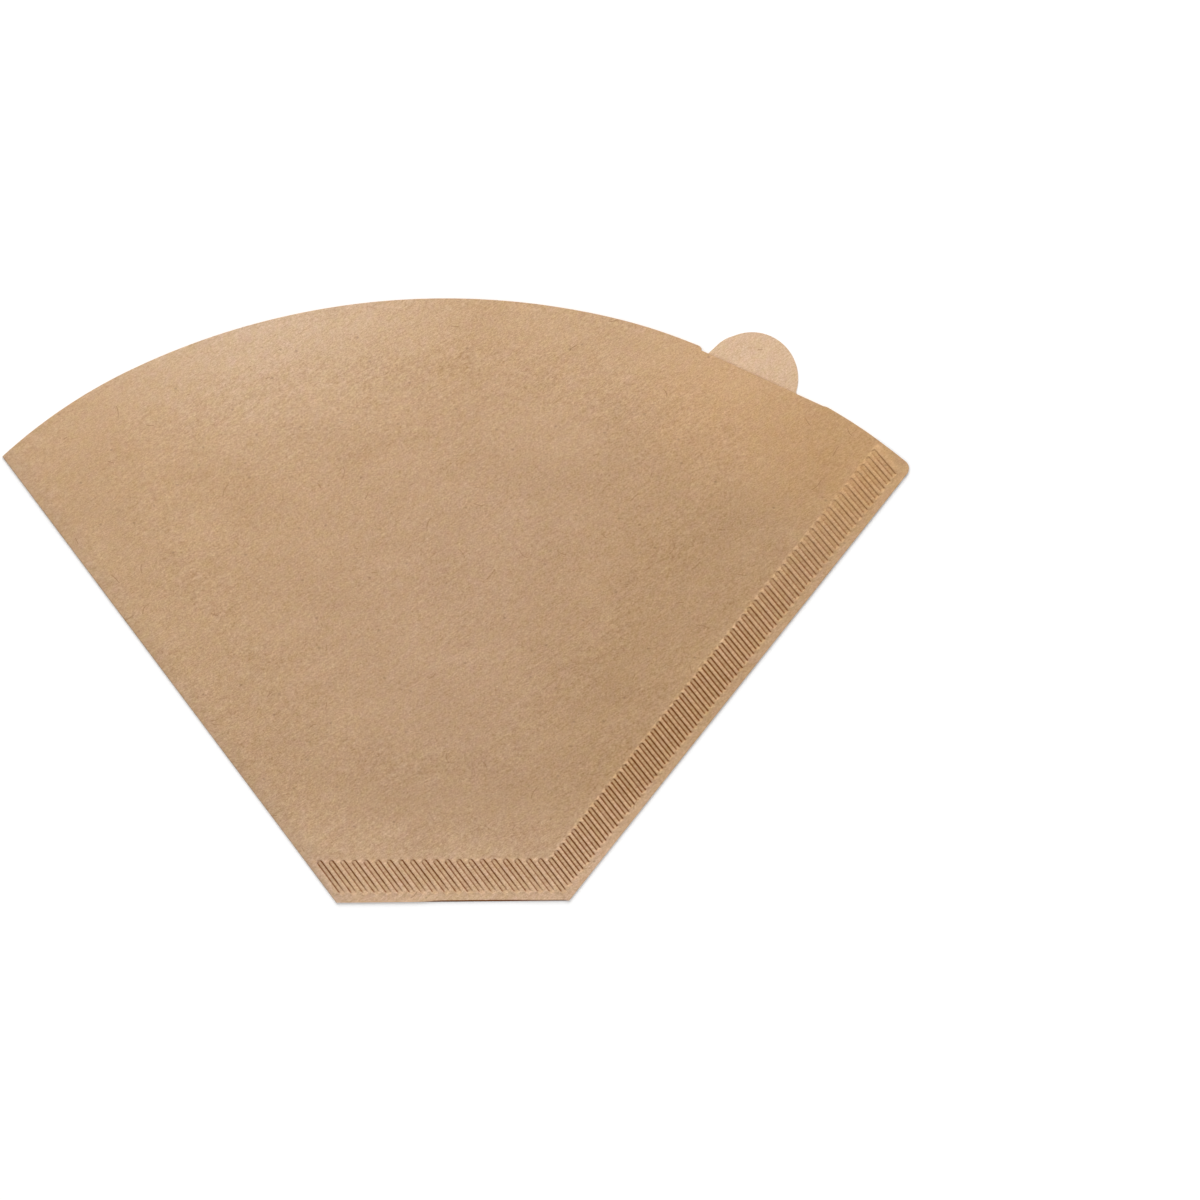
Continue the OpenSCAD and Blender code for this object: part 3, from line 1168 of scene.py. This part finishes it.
class Tree:
    """A node tree that nodes are added to and linked in.

    A mixing node has sockets for every kind of value, and the tree uses those for colours.
    """

    MIX_COLOURS = slice(6, 8)
    MIX_RESULT = 2

    def __init__(self, tree: bpy.types.NodeTree) -> None:
        """Takes over a tree and empties it."""
        self.tree = tree
        tree.nodes.clear()

    def add(self, kind: Kind, *values: object, **inputs: object) -> bpy.types.Node:
        """Adds a node and sets its inputs.

        Args:
            kind: The kind of node.
            *values: Values or output sockets for the first inputs, in order.
            **inputs: Values or output sockets for other inputs, by name with underscores for
                spaces, and the node's own settings with lower-case names.

        Returns:
            The node.
        """
        node = self.tree.nodes.new("ShaderNode" + kind.value)
        for name, value in inputs.items():
            if name[0].islower():
                setattr(node, name, value)
        for name, value in inputs.items():
            if not name[0].islower():
                self.set(node.inputs[name.replace("_", " ")], value)
        for socket, value in zip(node.inputs, values, strict=False):
            self.set(socket, value)
        return node

    def set(self, socket: Output, value: object) -> None:
        """Links an output to a socket, or gives the socket a constant value.

        Args:
            socket: The socket.
            value: The output or the constant.
        """
        if isinstance(value, Output):
            self.tree.links.new(value, socket)
        else:
            socket.default_value = value

    def math(self, operation: str, *values: object) -> Output:
        """Adds a math node and returns its output."""
        return self.add(Kind.MATH, *values, operation=operation).outputs[0]

    def vector(self, operation: str, *values: object) -> Output:
        """Adds a vector math node and returns the output that the operation uses."""
        node = self.add(Kind.VECTOR, *values, operation=operation)
        return next(output for output in node.outputs if output.enabled)

    def mapped(self, place: Output, turn: float = 0.0, scale: Point = (1.0, 1.0, 1.0)) -> Output:
        """Coordinates turned in the sheet's plane, in radians, and scaled."""
        return self.add(Kind.MAPPING, Vector=place, Rotation=(0.0, 0.0, turn), Scale=scale).outputs[0]

    def ramp(self, value: Output, start: float, end: float, high: float = 1.0) -> Output:
        """Adds an even rise from 0 at start to the high value at end, and returns its output."""
        return self.add(Kind.RANGE, Value=value, From_Min=start, From_Max=end, To_Max=high).outputs[0]

    def mix(self, share: object, one: object, other: object, blend: str = "MIX") -> Output:
        """Blends two colours.

        Args:
            share: The other colour's share.
            one: The first colour.
            other: The other colour.
            blend: How they are blended.

        Returns:
            The blended colour.
        """
        node = self.add(Kind.MIX, share, data_type="RGBA", blend_type=blend)
        for socket, value in zip(node.inputs[self.MIX_COLOURS], (one, other), strict=True):
            self.set(socket, (*value, 1.0) if isinstance(value, tuple) else value)
        return node.outputs[self.MIX_RESULT]

    def times(self, colour: object, other: object) -> Output:
        """Multiplies two colours and returns the output."""
        return self.mix(1.0, colour, other, "MULTIPLY")


@dataclass
class Paper:
    """Builds the paper's material from its finish."""

    finish: PaperFinish
    tree: Tree = field(init=False)
    place: Output = field(init=False)

    def build(self) -> bpy.types.Material:
        """Makes the material with all layers of texture, painted highlights and painted shade.

        Returns:
            The material.
        """
        finish = self.finish
        material = bpy.data.materials.new(finish.slot)
        material.use_nodes = True
        self.tree = tree = Tree(material.node_tree)
        self.place = tree.add(Kind.COORDINATES).outputs["Object"]
        grain: object = 0.0
        for layer in finish.grains:
            grain = tree.math("ADD", self._noise(layer), grain)
        colour = tree.mix(self._attribute("inner"), self._sheet(), finish.inner)
        # The tones paint highlights on the lands, tips and rims and shade near the fold.
        for name, tone in finish.tones:
            colour = tree.mix(self._attribute(name), colour, tone, "MULTIPLY")
        colour = self._grained(colour, grain)
        # Painted shade in the creases, made uneven by the grain.
        uneven = tree.math("MULTIPLY_ADD", grain, -finish.crease_grain, 1.0)
        shaded_crease = tree.math("MULTIPLY", self._attribute("shaded_crease"), uneven)
        # The creases and the back leaf's edge under the lip take the shaded crease colour: painted shade and
        # a painted shadow.
        for share in (shaded_crease, self._attribute("edge")):
            colour = tree.mix(share, colour, finish.shaded_crease)
        colour = tree.mix(self._flecks(finish.flecks), colour, finish.flecks.colour)
        colour = tree.mix(self._fibres(finish.fibres), colour, finish.fibres.colour)
        height = tree.math("MULTIPLY", grain, finish.relief * MM)
        bump = tree.add(Kind.BUMP, Strength=1.0, Distance=1.0, Height=height).outputs[0]
        surface = tree.add(Kind.PRINCIPLED, Base_Color=colour, Roughness=finish.roughness, Normal=bump)
        surface.inputs["Specular IOR Level"].default_value = finish.specular
        tree.add(Kind.MATERIAL_OUTPUT, Surface=surface.outputs[0])
        material.diffuse_color = (*finish.middle, 1.0)
        return material

    def _attribute(self, name: str) -> Output:
        """Reads one of the mesh's own values."""
        return self.tree.add(Kind.ATTRIBUTE, attribute_name=name).outputs["Fac"]

    def _noise(self, grain: Grain) -> Output:
        """Noise in the sheet's plane, stretched along the grain's run.

        Args:
            grain: The layer of grain.

        Returns:
            The noise, about zero and as strong as the layer says.
        """
        scale = (grain.cells[0] / MM, grain.cells[1] / MM, 1.0 / MM)
        sized = self.tree.mapped(self.tree.mapped(self.place, -math.radians(grain.angle)), scale=scale)
        look = {"Roughness": self.finish.rough_noise, "Distortion": self.finish.distortion}
        noise = self.tree.add(Kind.NOISE, Vector=sized, Scale=1.0, Detail=grain.detail, **look)
        return self.tree.math("MULTIPLY_ADD", noise.outputs["Fac"], grain.strength, -0.5 * grain.strength)

    def _away(self, away: Away) -> Output:
        """Share that rises between two distances from a point of the sheet."""
        return self.tree.ramp(self.tree.vector("DISTANCE", self.place, away.point), away.start, away.end)

    def _sheet(self) -> Output:
        """The plain sheet's colour, with its soft changes over the whole filter.

        Returns:
            The colour.
        """
        colour: object = self.finish.middle
        for other, away in self.finish.sways:
            colour = self.tree.mix(self._away(away), colour, other)
        return colour

    def _grained(self, colour: Output, grain: Output) -> Output:
        """Makes a colour lighter and darker by the grain, and a little other in hue in spots.

        Args:
            colour: The colour.
            grain: The grain, about zero.

        Returns:
            The grained colour.
        """
        tree = self.tree
        for tint in self.finish.tints:
            spots = tree.math("ADD", self._noise(tint.spots), 0.5)
            colour = tree.times(colour, tree.mix(spots, tint.low, tint.high))
        calm = tree.math("MULTIPLY", self._away(self.finish.calm), self.finish.calm_share)
        strength = tree.math("MULTIPLY", grain, tree.math("SUBTRACT", 1.0, calm))
        level = tree.vector("MULTIPLY_ADD", strength, self.finish.grain_hue, (1.0, 1.0, 1.0))
        return tree.times(colour, level)

    def _flecks(self, flecks: Flecks) -> Output:
        """Share of dark fleck.

        Args:
            flecks: Their sizes.

        Returns:
            The share.
        """
        sized = self.tree.mapped(self.place, flecks.turn, flecks.cells)
        cells = self.tree.add(Kind.VORONOI, Vector=sized, Scale=1.0, voronoi_dimensions="2D")
        near = self.tree.ramp(cells.outputs["Distance"], *flecks.fade, flecks.strength)
        patches = self.tree.add(Kind.NOISE, Vector=sized, Scale=flecks.patches, Detail=flecks.patch_detail)
        picked = self.tree.math("GREATER_THAN", patches.outputs["Fac"], flecks.rarity)
        return self.tree.math("MULTIPLY", near, picked)

    def _fibres(self, fibres: Fibres) -> Output:
        """Share of dark fibre.

        Args:
            fibres: Their sizes.

        Returns:
            The share.
        """
        tree = self.tree
        sized = tree.mapped(self.place, scale=fibres.cells)
        cells = tree.add(Kind.VORONOI, Vector=sized, Scale=1.0, voronoi_dimensions="2D").outputs
        chance = tree.add(Kind.CHANNELS, Color=cells["Color"]).outputs
        away = tree.vector("SUBTRACT", sized, cells["Position"])
        turn = tree.math("MULTIPLY", chance[0], 2 * math.pi)
        turned = tree.add(Kind.ROTATE, rotation_type="Z_AXIS", Vector=away, Angle=turn).outputs[0]
        length, across, _ = tree.add(Kind.PARTS, Vector=turned).outputs
        bend = tree.math("MULTIPLY_ADD", chance[1], fibres.bend, -fibres.bend / 2)
        bow = tree.math("MULTIPLY", tree.math("MULTIPLY", length, length), bend)
        off = tree.math("ABSOLUTE", tree.math("SUBTRACT", across, bow))
        thin = tree.ramp(off, *fibres.fade, fibres.strength)
        half = tree.math("MULTIPLY_ADD", chance[2], fibres.longer, fibres.shortest)
        short = tree.math("LESS_THAN", tree.math("ABSOLUTE", length), half)
        draw = tree.math("FRACT", tree.math("MULTIPLY", chance[2], fibres.shuffle))
        rare = tree.math("GREATER_THAN", draw, fibres.rarity)
        return tree.math("MULTIPLY", thin, tree.math("MULTIPLY", short, rare))


@dataclass
class Filter:
    """The whole filter: both leaves, fold, crimped seam and tab as one closed mesh."""

    outline: Outline
    crimp: Crimp
    heights: Heights
    finish: PaperFinish
    name: str = "coffee_filter"
    merge: float = 0.002
    tiny: float = 0.0005
    near: float = 0.02
    step_decimals: int = 2
    sharp: float = 60.0

    def build(self) -> bpy.types.Object:
        """Makes the object at the row's origin.

        Returns:
            The object, with its material.
        """
        mesh = bpy.data.meshes.new(self.name)
        bm = bmesh.new()
        self._leaves(bm, Lattice(self.outline, self.crimp))
        self._tab(bm)
        bmesh.ops.recalc_face_normals(bm, faces=bm.faces)
        bm.to_mesh(mesh)
        bm.free()
        spots = np.zeros(len(mesh.vertices) * 3, np.float32)
        mesh.vertices.foreach_get("co", spots)
        spots = spots.reshape(-1, 3)
        self._values(mesh, spots.astype(float))
        spots[:, :2] -= self.outline.box_middle
        mesh.vertices.foreach_set("co", (spots * MM).ravel())
        mesh.shade_smooth()
        mesh.set_sharp_from_angle(angle=math.radians(self.sharp))
        mesh.update()
        mesh.materials.append(Paper(self.finish).build())
        obj = bpy.data.objects.new(self.name, mesh)
        bpy.context.scene.collection.objects.link(obj)
        log.info("filter: %d points, %d faces", len(mesh.vertices), len(mesh.polygons))
        return obj

    def _sheet(self, lattice: Lattice) -> list[tuple[Array, Array, float, Array]]:
        """Rows of the sheet from the mouth round the cut edge to the mouth and back inside.

        Args:
            lattice: The points that cover a leaf.

        Returns:
            For each row, its points, their heights, 1 for the inside, and the width of the lip.
        """
        plan, heights, first = lattice.points, self.heights, lattice.band_rows
        flat, shape, rows = plan.reshape(-1, 2), plan.shape[:2], len(plan)
        top, bottom = heights.top(flat).reshape(shape), heights.bottom(flat).reshape(shape)
        ceiling = heights.front(flat, heights.paper).reshape(shape)
        floor = heights.back(flat, heights.paper).reshape(shape)
        ceiling[first - 1] = floor[first - 1] = (ceiling[first - 1] + floor[first - 1]) / 2
        ceiling = np.maximum(ceiling, floor)
        back = [*range(first), *range(first, rows - 1, lattice.back_step), rows - 1]
        inside = [first - 1, *range(first + 1, rows - 1, lattice.inner_step), rows - 1]
        lip = heights.lip(plan[0])
        front = plan.copy()
        front[:2, :, 1] += lip
        sheet = [(front[row], top[row], 0.0, lip * (row == 0)) for row in reversed(range(rows))]
        sheet += [(plan[row], bottom[row], 0.0, lip * (row == 0)) for row in back]
        sheet += [(plan[row], floor[row], 1.0, 0 * lip) for row in reversed(inside)]
        sheet += [(plan[row], ceiling[row], 1.0, 0 * lip) for row in inside]
        return [*sheet, (plan[-1], top[-1], 0.0, 0 * lip)]

    def _leaves(self, bm: bmesh.types.BMesh, lattice: Lattice) -> None:
        """Makes both leaves out of one grid.

        Args:
            bm: The mesh that they are added to.
            lattice: The points that cover a leaf.
        """
        sheet, last = self._sheet(lattice), lattice.points.shape[1] - 1
        bmesh.ops.create_grid(bm, x_segments=last, y_segments=len(sheet) - 1, size=1.0)
        bm.verts.ensure_lookup_table()
        spots = np.array([vert.co for vert in bm.verts])
        column = np.rint((spots[:, 0] + 1) / 2 * last).astype(int)
        line = np.rint((spots[:, 1] + 1) / 2 * (len(sheet) - 1)).astype(int)
        inner, edge = (bm.verts.layers.float.new(name) for name in ("inner", "edge"))
        for vert, c, r in zip(bm.verts, column, line, strict=True):
            points, level, side, dark = sheet[r]
            vert.co = (*points[c], level[c])
            vert[inner] = side
            # Painted shadow: the back leaf's edge where the front leaf stands back at the lip.
            vert[edge] = min(1.0, dark[c] / self.heights.lip_width)
        bmesh.ops.remove_doubles(bm, verts=bm.verts, dist=self.merge)
        bmesh.ops.dissolve_degenerate(bm, edges=bm.edges, dist=self.tiny)

    def _tab(self, bm: bmesh.types.BMesh) -> None:
        """Draws the back leaf's rim out between the tab's feet into the round tab.

        Args:
            bm: The mesh with both leaves.
        """
        outline = self.outline
        start, end = outline.tab_feet
        width = float(size(end - start))
        rim = []
        for face in bm.faces:
            if max(vert.co.z for vert in face.verts) > self.heights.paper + self.heights.near:
                continue
            offs = np.array([vert.co.xy for vert in face.verts]) - start
            run, out = dot(offs, outline.cut_way), dot(offs, outline.cut_out)
            if np.abs(out).max() < self.near and run.min() > -self.near and run.max() < width + self.near:
                rim.append(face)
        log.info("tab: drawn out of %d rim faces", len(rim))
        made = bmesh.ops.extrude_face_region(bm, geom=rim)
        bmesh.ops.delete(bm, geom=rim, context="FACES_ONLY")
        moved = [item for item in made["geom"] if isinstance(item, bmesh.types.BMVert)]
        reach = np.array([dot(np.array(vert.co.xy) - start, outline.cut_way) for vert in moved])
        steps = np.unique(np.round(reach, self.step_decimals))
        nodes = self._tab_nodes(len(steps) - 1)
        for vert, place in zip(moved, reach, strict=True):
            vert.co.xy = nodes[int(np.argmin(np.abs(steps - place)))]
        bmesh.ops.remove_doubles(bm, verts=bm.verts, dist=self.merge)

    def _tab_nodes(self, steps: int) -> Array:
        """Points round the tab from its left foot to its right foot, with one at every corner.

        Args:
            steps: How many steps the points make.

        Returns:
            The points, one per row.
        """
        sections = self.outline.tab_sections
        lengths = [runs(part)[-1] for part in sections]
        counts = [max(2, round(steps * length / sum(lengths))) for length in lengths]
        counts[1] += steps - sum(counts)
        parts = [sections[0][:1]]
        for part, length, count in zip(sections, lengths, counts, strict=True):
            parts.append(along(part, np.linspace(0.0, length, count + 1)[1:]))
        return np.vstack(parts)

    def _values(self, mesh: bpy.types.Mesh, spots: Array) -> None:
        """Gives each point of the front its shares of the press marks, the painted highlights and the painted
        shade, for the material.

        Args:
            mesh: The mesh.
            spots: Its points, in the outline's millimetres.
        """
        plan, heights = spots[:, :2], self.heights
        marks = heights.press.marks(plan)
        middle = (heights.front(plan) + heights.back(plan)) / 2
        upper = spots[:, 2] > middle - self.near
        for name in (*(name for name, _ in self.finish.tones), "shaded_crease"):
            layer = mesh.attributes.new(name, "FLOAT", "POINT")
            layer.data.foreach_set("value", np.asarray(getattr(marks, name) * upper, np.float32))


@dataclass(frozen=True)
class View:
    """Where the picture is taken from: straight above, through a long lens.

    The distance and the width of the picture are in metres, and the middle is in the outline's
    millimetres.
    """

    distance: float = 1.6
    width: float = 0.268044
    middle: Pair = (59.5, 67.06)
    roll: float = -0.525
    sensor: float = 36.0
    clip: Pair = (0.05, 20.0)


@dataclass(frozen=True)
class Lamp:
    """A soft square lamp that shines at the filter's middle."""

    name: str
    place: Point
    size: float
    power: float


@dataclass
class Studio:
    """Floor, backdrop, lamps and camera.

    To the camera, the floor glows a little, by its lift and by a slope that evens out the lamps.
    It lies a hair under the filter, so that the two faces don't mix.
    """

    outline: Outline
    view: View = View()
    ambient: float = 0.38
    floor_size: float = 4.0
    floor_drop: float = 0.02
    floor_colour: Colour = (0.92, 0.92, 0.92)
    floor_lift: float = 0.062
    floor_even: Point = (0.196, -0.86, 0.0)
    lamps: tuple[Lamp, ...] = (
        Lamp("key", (-0.03, 0.72, 0.58), 0.9, 9.9),
        Lamp("fill", (-0.35, -0.25, 0.85), 0.6, 1.6),
    )

    def build(self) -> None:
        """Sets up everything round the filter."""
        self._floor()
        self._world()
        for lamp in self.lamps:
            self._lamp(lamp)
        self._camera()
        bpy.context.scene.view_settings.view_transform = "Standard"
        log.info("studio: floor, backdrop, %d lamps and camera", len(self.lamps))

    def _floor(self) -> None:
        """A plain white floor that keeps the filter's shadow."""
        mesh = bpy.data.meshes.new("floor")
        bm = bmesh.new()
        drop = Matrix.Translation((0.0, 0.0, -self.floor_drop * MM))
        bmesh.ops.create_grid(bm, x_segments=1, y_segments=1, size=self.floor_size, matrix=drop)
        bm.to_mesh(mesh)
        bm.free()
        material = bpy.data.materials.new("floor")
        material.use_nodes = True
        tree = Tree(material.node_tree)
        place = tree.add(Kind.COORDINATES).outputs["Object"]
        lift = tree.math("ADD", tree.vector("DOT_PRODUCT", place, self.floor_even), self.floor_lift)
        seen = tree.add(Kind.LIGHT_PATH).outputs["Is Camera Ray"]
        glow = tree.math("MULTIPLY", seen, tree.math("MAXIMUM", lift, 0.0))
        diffuse = tree.add(Kind.DIFFUSE, Color=(*self.floor_colour, 1.0)).outputs[0]
        emission = tree.add(Kind.EMISSION, Strength=glow).outputs[0]
        both = tree.add(Kind.ADD_SHADER, diffuse, emission)
        tree.add(Kind.MATERIAL_OUTPUT, Surface=both.outputs[0])
        mesh.materials.append(material)
        floor = bpy.data.objects.new("floor", mesh)
        bpy.context.scene.collection.objects.link(floor)

    def _world(self) -> None:
        """Even white light from all round, and a white backdrop."""
        world = bpy.data.worlds.new("backdrop")
        world.use_nodes = True
        bpy.context.scene.world = world
        tree = Tree(world.node_tree)
        seen = tree.add(Kind.LIGHT_PATH).outputs["Is Camera Ray"]
        strength = tree.math("MULTIPLY_ADD", seen, 1.0 - self.ambient, self.ambient)
        backdrop = tree.add(Kind.BACKGROUND, Color=(1.0, 1.0, 1.0, 1.0), Strength=strength)
        tree.add(Kind.WORLD_OUTPUT, Surface=backdrop.outputs[0])

    def _lamp(self, lamp: Lamp) -> None:
        """Adds one lamp, turned to the filter's middle.

        Args:
            lamp: The lamp.
        """
        light = bpy.data.lights.new(lamp.name, "AREA")
        light.shape = "SQUARE"
        light.size = lamp.size
        light.energy = lamp.power
        obj = bpy.data.objects.new(lamp.name, light)
        obj.location = lamp.place
        obj.rotation_euler = (-Vector(lamp.place)).to_track_quat("-Z", "Y").to_euler()
        bpy.context.scene.collection.objects.link(obj)

    def _camera(self) -> None:
        """Adds the camera, which looks straight down as the photo shows the filter."""
        view = self.view
        camera = bpy.data.cameras.new("camera")
        camera.sensor_width = view.sensor
        camera.lens = view.sensor * view.distance / view.width
        camera.clip_start, camera.clip_end = view.clip
        obj = bpy.data.objects.new("camera", camera)
        obj.location = (*((np.array(view.middle) - self.outline.box_middle) * MM), view.distance)
        obj.rotation_euler = (0.0, 0.0, math.radians(view.roll))
        bpy.context.scene.collection.objects.link(obj)
        bpy.context.scene.camera = obj


def main() -> None:
    """Builds the filter and its studio."""
    logging.basicConfig(level=logging.INFO, format="%(name)s: %(message)s")
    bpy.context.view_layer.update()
    outline = Outline()
    crimp = Crimp(outline)
    heights = Heights(outline, crimp, Press(outline, crimp))
    log.info("seam: %d bars", crimp.count)
    sheet = Filter(outline, crimp, heights, PaperFinish()).build()
    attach(sheet, "root")
    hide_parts("filter")
    Studio(outline).build()


if __name__ == "__main__":
    main()
